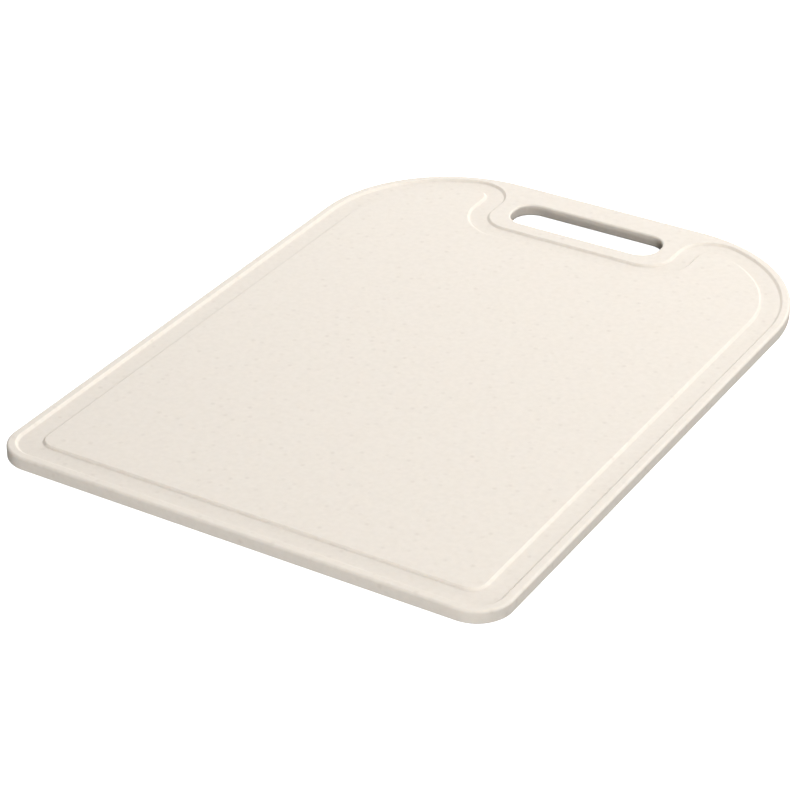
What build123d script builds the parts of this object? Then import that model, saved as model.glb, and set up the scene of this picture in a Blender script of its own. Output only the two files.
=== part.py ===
from build123d import *
import math
import os

# A moulded plastic cutting board: one plate with rounded corners, a hand slot near its far
# end, and a juice groove that runs round the cutting field and bends in below the slot.
# Lengths are in millimetres.  The underside lies on z = 0 with the origin at its middle.
# X runs across the board, and +Y runs toward the end with the hand slot.

# Plate
board_width = 280.0
board_length = 390.0
board_thickness = 7.0
near_corner_radius = 19.0
far_corner_radius = 82.0
rim_top_edge_radius = 1.5
rim_under_edge_radius = 0.4

# Hand slot: a rounded rectangle through the plate
slot_length = 92.0
slot_width = 25.0
slot_corner_radius = 11.0
slot_edge_radius = 1.2
handle_bar_width = 18.5

# Juice groove: its walls lean back by the wall angle, measured from upright
groove_rim_width = 4.4
groove_width = 12.4
groove_depth = 1.3
groove_wall_angle = 45.0
groove_crest_radius = 0.8
groove_floor_radius = 1.0
field_corner_radius = 7.5

# Plain land between the groove and the hand slot, and the bends that lead the groove round it
slot_end_land = 10.0
slot_near_land = 9.5
groove_shoulder_radius = 20.0
groove_elbow_radius = 15.0

tolerance = 0.01


def board_outline():
    """The plate seen from above: tight corners at the near end, wide ones at the far end."""
    outline = Rectangle(board_width, board_length)
    near_corners = outline.vertices().group_by(Axis.Y)[0]
    outline = fillet(near_corners, near_corner_radius)
    far_corners = outline.vertices().group_by(Axis.Y)[-1]
    return fillet(far_corners, far_corner_radius)


def slot_middle():
    """The middle of the hand slot, which leaves the width of the handle bar beyond it."""
    return (0, board_length / 2 - handle_bar_width - slot_width / 2)


def slot_outline():
    return Pos(*slot_middle()) * RectangleRounded(slot_length, slot_width, slot_corner_radius)


def round_outward_corners(sketch, radius):
    """Rounds each outward corner that is tighter than the radius, whatever edges meet there."""
    return offset(offset(sketch, -radius), radius)


def groove_outer_crest():
    """Where the groove starts, seen from above: inside the rim and round the land at the slot."""
    crest = offset(board_outline(), -groove_rim_width)
    land_width = slot_length + 2 * slot_end_land
    land_foot = slot_middle()[1] - slot_width / 2 - slot_near_land
    from_the_middle_up = (Align.CENTER, Align.MIN)
    crest -= Pos(0, land_foot) * Rectangle(land_width, board_length, align=from_the_middle_up)
    elbows = crest.vertices().filter_by_position(Axis.Y, land_foot - tolerance, land_foot + tolerance)
    crest = fillet(elbows.filter_by_position(Axis.X, -land_width, land_width), groove_elbow_radius)
    far_half = Rectangle(board_width, board_length, align=from_the_middle_up)
    far_crest = round_outward_corners(crest, groove_shoulder_radius) & far_half
    return crest - far_half + far_crest


def groove_cutter():
    """The groove as a solid, from its floor up to the crests, with its walls leaning back."""
    wall_run = groove_depth * math.tan(math.radians(groove_wall_angle))
    crest = groove_outer_crest()
    basin = mirror(extrude(crest, groove_depth, taper=groove_wall_angle), Plane.XY)
    field_crest = round_outward_corners(offset(crest, -groove_width), field_corner_radius)
    field_foot = offset(field_crest, wall_run)
    field = Pos(0, 0, -groove_depth) * extrude(field_foot, groove_depth, taper=groove_wall_angle)
    return Pos(0, 0, board_thickness) * (basin - field)


def edges_at(solid, height):
    """All edges of a solid that lie flat at one height."""
    level = solid.edges().filter_by_position(Axis.Z, height - tolerance, height + tolerance)
    return level.filter_by(lambda edge: edge.bounding_box().size.Z < tolerance)


def top_faces(solid):
    """The flat faces at the top: the cutting field inside the groove, then the rim round it."""
    faces = solid.faces().filter_by(Axis.Z).group_by(Axis.Z)[-1]
    return faces.sort_by(lambda face: face.bounding_box().size.X)


def cut_groove(plate):
    """Sinks the groove, rounds its floor into its walls and eases both of its crests."""
    grooved = plate - groove_cutter()
    grooved = fillet(edges_at(grooved, board_thickness - groove_depth), groove_floor_radius)
    field, rim = top_faces(grooved)
    return fillet(field.edges() + rim.inner_wires()[0].edges(), groove_crest_radius)


def round_rim(plate):
    """Eases the outer edge: softly above, and only slightly below."""
    underside = plate.faces().filter_by(Axis.Z).sort_by(Axis.Z)[0]
    plate = fillet(underside.outer_wire().edges(), rim_under_edge_radius)
    return fillet(top_faces(plate)[-1].outer_wire().edges(), rim_top_edge_radius)


def cut_slot(plate):
    """Opens the hand slot and rounds its edges for the fingers, above and below."""
    opened = plate - extrude(slot_outline(), board_thickness)
    half_length = slot_length / 2 + tolerance
    half_width = slot_width / 2 + tolerance
    middle = slot_middle()[1]
    edges = edges_at(opened, 0) + edges_at(opened, board_thickness)
    edges = edges.filter_by_position(Axis.X, -half_length, half_length)
    edges = edges.filter_by_position(Axis.Y, middle - half_width, middle + half_width)
    return fillet(edges, slot_edge_radius)


plate = extrude(board_outline(), board_thickness)
board = cut_slot(round_rim(cut_groove(plate)))
board.label = "board"

os.makedirs("parts", exist_ok=True)
export_step(board, "parts/board.step")
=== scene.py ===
import math

import bmesh
import bpy
from mathutils import Matrix, Vector
from mathutils.geometry import area_tri, delaunay_2d_cdt


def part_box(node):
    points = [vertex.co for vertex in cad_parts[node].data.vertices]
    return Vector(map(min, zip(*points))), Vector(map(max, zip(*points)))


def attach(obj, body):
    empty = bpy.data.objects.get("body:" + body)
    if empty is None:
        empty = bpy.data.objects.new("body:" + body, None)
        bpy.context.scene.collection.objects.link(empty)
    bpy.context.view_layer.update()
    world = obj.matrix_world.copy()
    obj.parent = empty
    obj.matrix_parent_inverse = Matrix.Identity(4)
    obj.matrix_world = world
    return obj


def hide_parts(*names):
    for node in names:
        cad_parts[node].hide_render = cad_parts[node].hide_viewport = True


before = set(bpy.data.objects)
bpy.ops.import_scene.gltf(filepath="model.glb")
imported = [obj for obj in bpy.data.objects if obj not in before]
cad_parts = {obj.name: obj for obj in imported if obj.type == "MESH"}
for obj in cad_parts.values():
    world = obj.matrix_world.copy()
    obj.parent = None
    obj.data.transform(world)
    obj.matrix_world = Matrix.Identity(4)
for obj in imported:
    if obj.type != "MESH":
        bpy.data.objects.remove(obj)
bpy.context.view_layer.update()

MM = 0.001

# The plate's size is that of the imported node's box.
low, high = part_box("board")
width = high.x - low.x
length = high.y - low.y
thickness = high.z - low.z

# The other sizes are the CAD model's own.
near_corner_radius = 19.0 * MM
far_corner_radius = 82.0 * MM
rim_top_edge_radius = 1.5 * MM
rim_under_edge_radius = 0.4 * MM

slot_length = 92.0 * MM
slot_width = 25.0 * MM
slot_corner_radius = 11.0 * MM
slot_edge_radius = 1.2 * MM
handle_bar_width = 18.5 * MM

groove_rim_width = 4.4 * MM
groove_width = 12.4 * MM
groove_depth = 1.3 * MM
groove_wall_angle = math.radians(45.0)
groove_crest_radius = 0.8 * MM
groove_floor_radius = 1.0 * MM
field_corner_radius = 7.5 * MM
slot_end_land = 10.0 * MM
slot_near_land = 9.5 * MM
groove_shoulder_radius = 20.0 * MM
groove_elbow_radius = 15.0 * MM

# The camera's stand, and what it looks at
camera_azimuth = math.radians(30.63)
camera_elevation = math.radians(30.69)
camera_roll = math.radians(0.36)
camera_distance = 1.3552
camera_target = Vector((0.0072, -0.0522, thickness))
camera_lens = 121.4
camera_sensor = 36.0

floor_radius = 12.0

# Light cards: name, azimuth from +X toward +Y and elevation in degrees, distance and size in
# metres, watts
light_cards = [
    ("key", 60, 60, 1.8, (1.0, 1.0), 20.4),
    ("front_right_fill", 315, 30, 1.9, (1.1, 1.1), 20.3),
    ("back_fill", 90, 30, 1.9, (1.1, 1.1), 9.2),
    ("back_left_fill", 135, 30, 1.9, (1.1, 1.1), 11.7),
    ("front_strip", 270, 4.5, 2.5, (1.8, 0.35), 25.0),
    ("back_right_strip", 45, 4.5, 2.5, (1.8, 0.35), 26.2),
    ("back_left_strip", 135, 4.5, 2.5, (1.8, 0.35), 5.4),
]

# How finely the curves are cut, and how flat ground is filled
arc_step = math.radians(3.0)
run_step = 6.0 * MM
run_slack = 0.01
fillet_steps = 6
flat_cell = 6.0 * MM
border_gap = 0.6 * flat_cell
merge_distance = 1e-7
sliver_area = 0.001 * MM ** 2


# ---------------------------------------------------------------- outlines
# A path is a list of arcs, joined by straight runs and gone round counterclockwise.  An arc is
# (centre x, centre y, radius, first heading, last heading): its radius is negative where it
# turns right.  The left-hand side of a path is its inside.

def left_of(heading):
    return Vector((-math.sin(heading), math.cos(heading)))


def mirrored(arc):
    """The same arc on the other side of x = 0, for a path that goes on round."""
    x, y, radius, first, last = arc
    return (-x, y, radius, 2 * math.pi - last, 2 * math.pi - first)


def whole_path(right_half):
    return right_half + [mirrored(arc) for arc in reversed(right_half)]


def quarter(corner_x, corner_y, radius, quarter_turn):
    """The rounding of a rectangle's right-hand corner: quarter 0 is the near one, 1 the far one."""
    far = 1 if quarter_turn == 1 else -1
    first = quarter_turn * math.pi / 2
    return (corner_x - radius, corner_y - far * radius, radius, first, first + math.pi / 2)


def board_path():
    x, y = width / 2, length / 2
    return whole_path([
        quarter(x, -y, near_corner_radius, 0),
        quarter(x, y, far_corner_radius, 1),
    ])


def slot_path():
    middle = length / 2 - handle_bar_width - slot_width / 2
    x, y = slot_length / 2, slot_width / 2
    return whole_path([
        quarter(x, middle - y, slot_corner_radius, 0),
        quarter(x, middle + y, slot_corner_radius, 1),
    ])


def groove_path():
    """The outer crest: the outline moved in by the rim, with bends that pass below the slot."""
    x, y = width / 2 - groove_rim_width, length / 2 - groove_rim_width
    near_radius = near_corner_radius - groove_rim_width
    far_radius = far_corner_radius - groove_rim_width
    land_x = slot_length / 2 + slot_end_land
    land_y = length / 2 - handle_bar_width - slot_width - slot_near_land
    arc_x, arc_y = x - far_radius, y - far_radius
    shoulder_x = land_x + groove_shoulder_radius
    reach = far_radius - groove_shoulder_radius
    shoulder_y = arc_y + math.sqrt(reach ** 2 - (shoulder_x - arc_x) ** 2)
    meeting = math.pi / 2 + math.atan2(shoulder_y - arc_y, shoulder_x - arc_x)
    down, leftward = 1.5 * math.pi, math.pi
    elbow = groove_elbow_radius
    return whole_path([
        quarter(x, -y, near_radius, 0),
        (arc_x, arc_y, far_radius, math.pi / 2, meeting),
        (shoulder_x, shoulder_y, groove_shoulder_radius, meeting, down),
        (land_x - elbow, land_y + elbow, -elbow, down, leftward),
    ])


def field_path():
    """The groove's inner crest: the outer one moved in by the groove, with its own near corners."""
    moved_in = [
        (x, y, radius - groove_width, first, last)
        for x, y, radius, first, last in groove_path()
    ]
    inset = groove_rim_width + groove_width
    near_corner = quarter(width / 2 - inset, inset - length / 2, field_corner_radius, 0)
    return [near_corner] + moved_in[1:-1] + [mirrored(near_corner)]


def samples(path):
    """(point, inward direction) along a closed path, evenly spaced on its runs and arcs."""
    found = []
    for arc, following in zip(path, path[1:] + path[:1]):
        x, y, radius, first, last = arc
        centre = Vector((x, y))
        steps = max(2, math.ceil(abs(last - first) / arc_step))
        for i in range(steps):
            inward = left_of(first + (last - first) * i / steps)
            found.append((centre - radius * inward, inward))
        inward = left_of(last)
        start = centre - radius * inward
        end = Vector(following[:2]) - following[2] * left_of(following[3])
        cuts = math.ceil((end - start).length / run_step - run_slack)
        for i in range(cuts):
            found.append((start.lerp(end, i / cuts), inward))
    return found


# ---------------------------------------------------------------- profiles
# A profile is a list of (distance inward from the path, height).

def rounded(corners, radii):
    """A profile eased by an arc at each corner; it runs from the first arc to the last one."""
    found = []
    for before, corner, after, radius in zip(corners, corners[1:], corners[2:], radii):
        corner = Vector(corner)
        back = (Vector(before) - corner).normalized()
        ahead = (Vector(after) - corner).normalized()
        half = back.angle(ahead) / 2
        centre = corner + (back + ahead).normalized() * radius / math.sin(half)
        first = corner + back * radius / math.tan(half) - centre
        last = corner + ahead * radius / math.tan(half) - centre
        turn = first.angle_signed(last)
        for i in range(fillet_steps + 1):
            found.append(centre + Matrix.Rotation(-turn * i / fillet_steps, 2) @ first)
    return found


def rim_profile():
    far = width / 2
    corners = [(far, 0), (0, 0), (0, thickness), (far, thickness)]
    return rounded(corners, [rim_under_edge_radius, rim_top_edge_radius])


def slot_profile():
    far = -width / 2
    corners = [(far, thickness), (0, thickness), (0, 0), (far, 0)]
    return rounded(corners, [slot_edge_radius] * 2)


def groove_wall_profile():
    """Down the groove's wall, from the crest that the path follows to the groove's floor."""
    far = width / 2
    run = groove_depth * math.tan(groove_wall_angle)
    floor = thickness - groove_depth
    corners = [(-far, thickness), (0, thickness), (run, floor), (far, floor)]
    return rounded(corners, [groove_crest_radius, groove_floor_radius])


def field_wall_profile():
    """Up the wall on the field's side, as the other wall turned about."""
    return [(-distance, height) for distance, height in reversed(groove_wall_profile())]


# ---------------------------------------------------------------- mesh

def skin(mesh, path, profile):
    """Sweeps a profile round a path; returns its first and last rings of vertices."""
    line = samples(path)
    rings = []
    for distance, height in profile:
        places = [point + inward * distance for point, inward in line]
        rings.append([mesh.verts.new((p.x, p.y, height)) for p in places])
    for ring, following in zip(rings, rings[1:]):
        for i in range(len(ring)):
            j = (i + 1) % len(ring)
            mesh.faces.new((ring[i], ring[j], following[j], following[i]))
    return rings[0], rings[-1]


def inside(point, ring):
    """Whether a point is inside a ring of vertices, seen from above."""
    crossings = 0
    for a, b in zip(ring, ring[1:] + ring[:1]):
        if (a.co.y > point.y) != (b.co.y > point.y):
            share = (point.y - a.co.y) / (b.co.y - a.co.y)
            crossings += point.x < a.co.x + share * (b.co.x - a.co.x)
    return crossings % 2 == 1


def flat(mesh, outer, holes, facing_up):
    """Fills the flat ground between an outer ring and the rings of its holes with even cells."""
    rings = [outer] + holes
    vertices = [v for ring in rings for v in ring]
    height = outer[0].co.z
    edges, start = [], 0
    for ring in rings:
        edges += [(start + i, start + (i + 1) % len(ring)) for i in range(len(ring))]
        start += len(ring)
    columns = math.floor(width / 2 / flat_cell)
    rows = math.floor(length / 2 / flat_cell)
    border = [v.co.xy for v in vertices]
    spare = []
    for column in range(-columns, columns + 1):
        for row in range(-rows, rows + 1):
            place = Vector((column * flat_cell, row * flat_cell))
            if not inside(place, outer) or any(inside(place, hole) for hole in holes):
                continue
            if min((place - b).length for b in border) > border_gap:
                spare.append(place)
    vertices += [mesh.verts.new((p.x, p.y, height)) for p in spare]
    places = [v.co.xy for v in vertices]
    _, _, faces, sources, _, _ = delaunay_2d_cdt(places, edges, [], 0, merge_distance)
    made = []
    for face in faces:
        face = [sources[i][0] for i in face]
        corners = [places[i] for i in face]
        middle = sum(corners, Vector((0, 0))) / 3
        if not inside(middle, outer) or any(inside(middle, hole) for hole in holes):
            continue
        if area_tri(*corners) < sliver_area:
            continue
        corners = [vertices[i] for i in face]
        made.append(mesh.faces.new(corners if facing_up else corners[::-1]))
    bmesh.ops.join_triangles(
        mesh,
        faces=made,
        angle_face_threshold=math.radians(1),
        angle_shape_threshold=math.radians(40),
    )


def board_piece():
    mesh = bmesh.new()
    rim_under, rim_top = skin(mesh, board_path(), rim_profile())
    slot_top, slot_under = skin(mesh, slot_path(), slot_profile())
    groove_crest, groove_foot = skin(mesh, groove_path(), groove_wall_profile())
    field_foot, field_crest = skin(mesh, field_path(), field_wall_profile())
    flat(mesh, rim_top, [slot_top, groove_crest], True)
    flat(mesh, groove_foot, [field_foot], True)
    flat(mesh, field_crest, [], True)
    flat(mesh, rim_under, [slot_under], False)
    for face in mesh.faces:
        face.smooth = True
    data = bpy.data.meshes.new("moulded_board")
    mesh.to_mesh(data)
    mesh.free()
    piece = bpy.data.objects.new("moulded_board", data)
    bpy.context.scene.collection.objects.link(piece)
    even = piece.modifiers.new("even_shading", "WEIGHTED_NORMAL")
    even.weight = 100
    even.keep_sharp = False
    return piece


# ---------------------------------------------------------------- materials

def node(tree, kind, **settings):
    made = tree.nodes.new(kind)
    for name, value in settings.items():
        setattr(made, name, value)
    return made


def ramp(tree, stops):
    """A colour ramp of (position, colour) stops."""
    made = node(tree, "ShaderNodeValToRGB")
    for element, (position, colour) in zip(made.color_ramp.elements, stops):
        element.position = position
        element.color = (*colour, 1)
    return made


def plastic():
    """Matt food-grade plastic: a fine moulded grain, a faint mottle and small scattered flecks."""
    material = bpy.data.materials.new("board_plastic_detailed")
    material.use_nodes = True
    tree = material.node_tree
    shader = tree.nodes["Principled BSDF"]
    shader.inputs["Specular IOR Level"].default_value = 0.3
    shader.inputs["Subsurface Weight"].default_value = 0.15
    shader.inputs["Subsurface Radius"].default_value = (1.0, 0.8, 0.6)
    shader.inputs["Subsurface Scale"].default_value = 0.003
    place = node(tree, "ShaderNodeTexCoord")
    mottle = node(tree, "ShaderNodeTexNoise")
    mottle.inputs["Scale"].default_value = 320.0
    mottle.inputs["Detail"].default_value = 2.0
    tone = ramp(tree, [(0.32, (0.782, 0.720, 0.642)), (0.68, (0.810, 0.748, 0.670))])
    flecks = node(tree, "ShaderNodeTexVoronoi")
    flecks.inputs["Scale"].default_value = 170.0
    spot = ramp(tree, [(0.03, (1.0, 1.0, 1.0)), (0.28, (0.0, 0.0, 0.0))])
    strength = node(tree, "ShaderNodeSeparateColor")
    uneven = node(tree, "ShaderNodeMath", operation="MULTIPLY")
    flecked = node(tree, "ShaderNodeMix", data_type="RGBA")
    flecked.inputs["B"].default_value = (0.716, 0.651, 0.576, 1)
    grain = node(tree, "ShaderNodeTexNoise")
    grain.inputs["Scale"].default_value = 1400.0
    grain.inputs["Detail"].default_value = 2.0
    relief = node(tree, "ShaderNodeBump")
    relief.inputs["Strength"].default_value = 0.25
    relief.inputs["Distance"].default_value = 0.0001
    polish = node(tree, "ShaderNodeMapRange")
    polish.inputs["To Min"].default_value = 0.56
    polish.inputs["To Max"].default_value = 0.68
    link = tree.links.new
    for texture in (mottle, flecks, grain):
        link(place.outputs["Object"], texture.inputs["Vector"])
    link(mottle.outputs["Fac"], tone.inputs["Fac"])
    link(flecks.outputs["Distance"], spot.inputs["Fac"])
    link(flecks.outputs["Color"], strength.inputs["Color"])
    link(spot.outputs["Color"], uneven.inputs[0])
    link(strength.outputs["Red"], uneven.inputs[1])
    link(uneven.outputs["Value"], flecked.inputs["Factor"])
    link(tone.outputs["Color"], flecked.inputs["A"])
    link(flecked.outputs["Result"], shader.inputs["Base Color"])
    link(mottle.outputs["Fac"], polish.inputs["Value"])
    link(polish.outputs["Result"], shader.inputs["Roughness"])
    link(grain.outputs["Fac"], relief.inputs["Height"])
    link(relief.outputs["Normal"], shader.inputs["Normal"])
    return material


def floor_white():
    """A floor that glows evenly white to the camera; it is made not to light the board."""
    material = bpy.data.materials.new("lit_floor")
    material.use_nodes = True
    shader = material.node_tree.nodes["Principled BSDF"]
    shader.inputs["Base Color"].default_value = (0.9, 0.9, 0.9, 1)
    shader.inputs["Roughness"].default_value = 0.9
    shader.inputs["Specular IOR Level"].default_value = 0.0
    shader.inputs["Emission Color"].default_value = (1, 1, 1, 1)
    shader.inputs["Emission Strength"].default_value = 1.0
    return material


# ---------------------------------------------------------------- studio

def floor():
    mesh = bmesh.new()
    bmesh.ops.create_circle(mesh, cap_ends=True, segments=96, radius=floor_radius)
    data = bpy.data.meshes.new("floor")
    mesh.to_mesh(data)
    mesh.free()
    made = bpy.data.objects.new("floor", data)
    bpy.context.scene.collection.objects.link(made)
    made.location.z = low.z
    made.visible_diffuse = False
    made.visible_glossy = False
    made.data.materials.append(floor_white())


def facing(obj, target, roll=0.0):
    aim = (Vector(target) - obj.location).to_track_quat("-Z", "Y")
    obj.rotation_euler = (aim.to_matrix() @ Matrix.Rotation(roll, 3, "Z")).to_euler()


def softbox(name, azimuth, elevation, distance, size, watts):
    """A light card that faces the board, which the camera doesn't see."""
    azimuth, elevation = math.radians(azimuth), math.radians(elevation)
    light = bpy.data.lights.new(name, "AREA")
    light.shape = "RECTANGLE"
    light.size, light.size_y = size
    light.energy = watts
    made = bpy.data.objects.new(name, light)
    bpy.context.scene.collection.objects.link(made)
    made.location = distance * Vector((
        math.cos(azimuth) * math.cos(elevation),
        math.sin(azimuth) * math.cos(elevation),
        math.sin(elevation),
    ))
    made.visible_camera = False
    facing(made, (0, 0, 0))


def surroundings():
    """A white room that only the camera sees, so that the light cards alone shape the tones."""
    world = bpy.data.worlds.new("studio")
    world.use_nodes = True
    background = world.node_tree.nodes["Background"]
    background.inputs["Color"].default_value = (1, 1, 1, 1)
    world.cycles_visibility.diffuse = False
    world.cycles_visibility.glossy = False
    bpy.context.scene.world = world


def camera():
    """The camera stands at an azimuth and elevation round the point that it looks at."""
    data = bpy.data.cameras.new("camera")
    data.lens = camera_lens
    data.sensor_width = camera_sensor
    data.clip_start, data.clip_end = 0.01, 100.0
    made = bpy.data.objects.new("camera", data)
    bpy.context.scene.collection.objects.link(made)
    away = Vector((
        math.sin(camera_azimuth) * math.cos(camera_elevation),
        -math.cos(camera_azimuth) * math.cos(camera_elevation),
        math.sin(camera_elevation),
    ))
    made.location = camera_target + away * camera_distance
    facing(made, camera_target, camera_roll)
    bpy.context.scene.camera = made


board = board_piece()
board.data.materials.append(plastic())
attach(board, "root")
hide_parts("board")

floor()
surroundings()
for card in light_cards:
    softbox(*card)
camera()
bpy.context.scene.view_settings.view_transform = "Standard"
